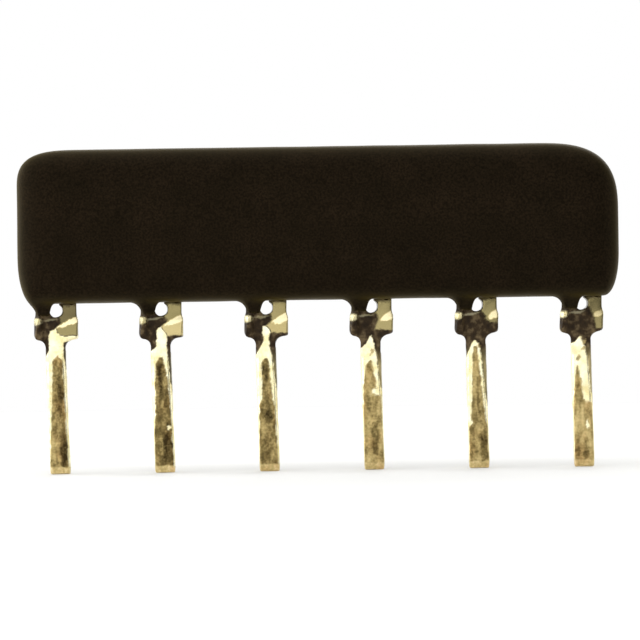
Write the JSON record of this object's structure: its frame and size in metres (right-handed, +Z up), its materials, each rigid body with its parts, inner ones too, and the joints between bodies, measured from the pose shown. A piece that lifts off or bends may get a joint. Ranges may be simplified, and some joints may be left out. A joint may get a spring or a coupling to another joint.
{
  "type": "resistor network",
  "caption": "Single in-line thick-film resistor network: a dipped epoxy body over a printed ceramic chip, on a row of tinned clip leads for a circuit board.",
  "frame": {"origin": "middle of the lead row, on the seating plane where the shoulders stop on the board", "axes": "+X along the lead row from the common lead to the last, +Y away from the printed face, +Z up from the board"},
  "size_m": [0.0146, 0.0018, 0.0079],
  "materials": {
    "epoxy": "dip-coated brown-black epoxy, satin",
    "alumina": "fired alumina, matt",
    "tinned_lead": "hot solder-dipped strip, warm grey, satin",
    "silver_print": "fired silver print, matt",
    "resistor_film": "fired resistor print, matt",
    "overglaze": "fired green glass print",
    "solder": "reflowed solder, satin"
  },
  "bodies": {
    "root": {"coating": "epoxy", "substrate": "alumina", "lead_1": "tinned_lead", "lead_2": "tinned_lead", "lead_3": "tinned_lead", "lead_4": "tinned_lead", "lead_5": "tinned_lead", "lead_6": "tinned_lead", "bus_conductor": "silver_print", "pad_2": "silver_print", "pad_3": "silver_print", "pad_4": "silver_print", "pad_5": "silver_print", "pad_6": "silver_print", "resistor_1": "resistor_film", "resistor_2": "resistor_film", "resistor_3": "resistor_film", "resistor_4": "resistor_film", "resistor_5": "resistor_film", "overglaze": "overglaze", "solder_1": "solder", "solder_2": "solder", "solder_3": "solder", "solder_4": "solder", "solder_5": "solder", "solder_6": "solder"}
  },
  "joints": []
}
